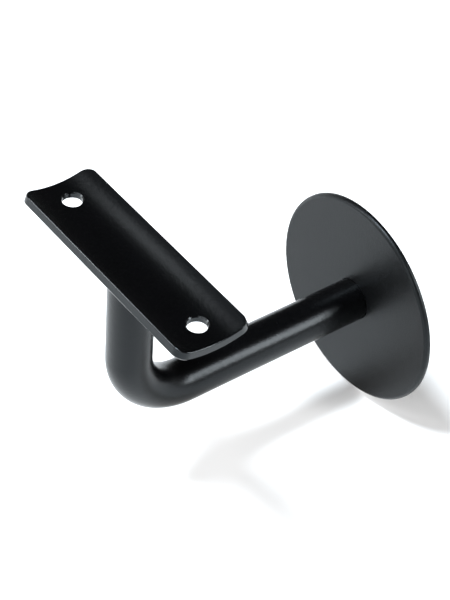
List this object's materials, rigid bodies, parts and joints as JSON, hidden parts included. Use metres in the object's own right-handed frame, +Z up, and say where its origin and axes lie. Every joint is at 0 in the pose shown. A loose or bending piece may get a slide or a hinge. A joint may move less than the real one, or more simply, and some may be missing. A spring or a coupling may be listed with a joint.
{
  "type": "handrail bracket",
  "caption": "Handrail bracket: a round bar turns up from a thin wall disc to a curved saddle plate that carries the rail.",
  "frame": {"origin": "centre of the disc's back face, on the wall and on the bar's axis", "axes": "+Y into the wall, so the bracket stands out towards -Y; +Z up; X along the rail and the wall"},
  "size_m": [0.068, 0.0871, 0.0822],
  "materials": {
    "coated_bar": "satin black powder coat on bent steel bar",
    "coated_plate": "satin black powder coat on pressed steel strip",
    "coated_disc": "satin black powder coat on flat steel disc",
    "coated_weld": "satin black powder coat over a weld bead",
    "coated_back": "satin black powder coat over a ground weld"
  },
  "bodies": {
    "root": {"support_rod": "coated_bar", "saddle_plate": "coated_plate", "wall_disc": "coated_disc", "saddle_weld": "coated_weld", "disc_weld": "coated_back"}
  },
  "joints": []
}
